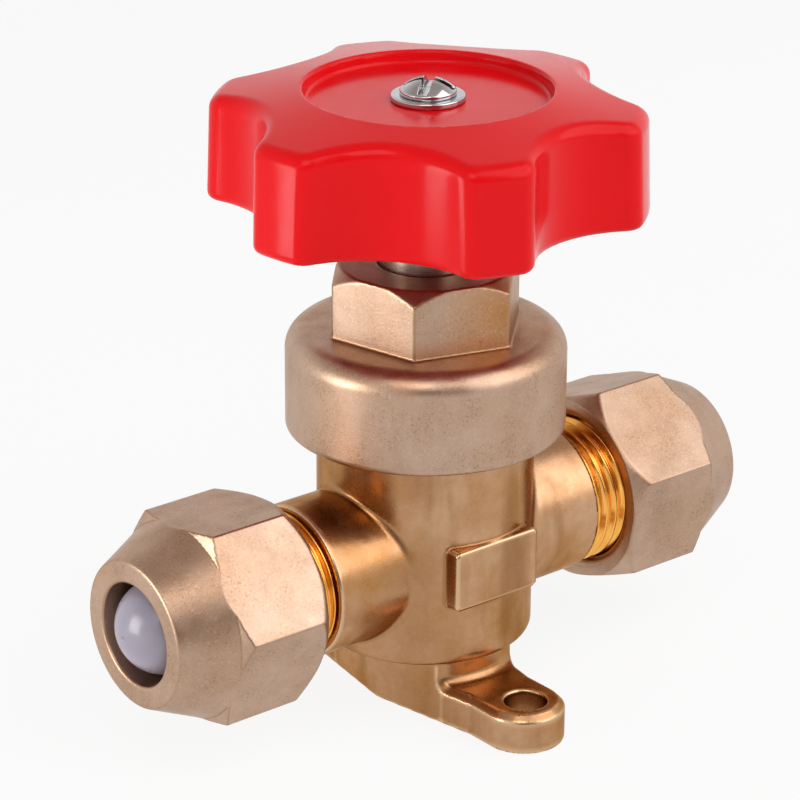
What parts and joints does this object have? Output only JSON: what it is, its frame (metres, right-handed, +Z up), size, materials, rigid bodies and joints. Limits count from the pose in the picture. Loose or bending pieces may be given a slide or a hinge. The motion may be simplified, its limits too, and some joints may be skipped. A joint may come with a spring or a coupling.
{
  "type": "refrigerant shut-off valve",
  "caption": "Packless hand shut-off valve for refrigerant lines: brass body with flare nuts, foot with screw holes and a lobed red knob.",
  "frame": {"origin": "middle of the foot's underside, on the stem axis", "axes": "+Z up along the stem, X along the port axis with the left port towards -X, the foot's ears towards +Y and -Y"},
  "size_m": [0.0938, 0.0528, 0.0817],
  "materials": {
    "forged_brass": "forged, satin",
    "blasted_brass": "sand-blasted",
    "turned_brass": "turned",
    "stainless": "bright",
    "spindle_steel": "turned",
    "red_plastic": "glossy",
    "chrome": "polished",
    "nylon": "plain",
    "lilac_plastic": "smooth",
    "rubber": "matt"
  },
  "bodies": {
    "housing": {"valve_body": "forged_brass", "bonnet": "blasted_brass", "clamp_ring": "turned_brass", "diaphragm_lower": "stainless", "diaphragm_middle": "stainless", "diaphragm_upper": "stainless", "return_spring": "stainless"},
    "plunger_set": {"plunger": "turned_brass", "seat_disc": "nylon", "thrust_pad": "turned_brass"},
    "stem_and_knob": {"spindle": "spindle_steel", "spindle_seal": "rubber", "knob": "red_plastic", "knob_washer": "chrome", "knob_screw": "chrome"},
    "left_plug": {"flare_plug_left": "lilac_plastic"},
    "left_nut": {"flare_nut_left": "blasted_brass"},
    "right_plug": {"flare_plug_right": "lilac_plastic"},
    "right_nut": {"flare_nut_right": "blasted_brass"}
  },
  "joints": [
    {"name": "plunger_lift", "type": "slide", "parent": "housing", "child": "plunger_set", "axis": [0, 0, 1], "range_m": [0, 0.002], "deforming": ["return_spring", "diaphragm_lower", "diaphragm_middle", "diaphragm_upper"]},
    {"name": "knob_turn", "type": "hinge", "parent": "plunger_set", "child": "stem_and_knob", "pos_m": [0, 0, 0.05], "axis": [0, 0, 1], "range_deg": [0, 480]},
    {"name": "left_plug_slide", "type": "slide", "parent": "housing", "child": "left_plug", "axis": [-1, 0, 0], "range_m": [0, 0.008]},
    {"name": "left_nut_turn", "type": "hinge", "parent": "left_plug", "child": "left_nut", "pos_m": [-0.035, 0, 0.0205], "axis": [-1, 0, 0], "range_deg": [0, 1814]},
    {"name": "right_plug_slide", "type": "slide", "parent": "housing", "child": "right_plug", "axis": [1, 0, 0], "range_m": [0, 0.008]},
    {"name": "right_nut_turn", "type": "hinge", "parent": "right_plug", "child": "right_nut", "pos_m": [0.035, 0, 0.0205], "axis": [1, 0, 0], "range_deg": [0, 1814]}
  ],
  "couplings": [
    {"joint": "plunger_lift", "follows": "knob_turn", "m_per_rad": 0.00023873},
    {"joint": "left_plug_slide", "follows": "left_nut_turn", "m_per_rad": 0.00025266},
    {"joint": "right_plug_slide", "follows": "right_nut_turn", "m_per_rad": 0.00025266}
  ]
}
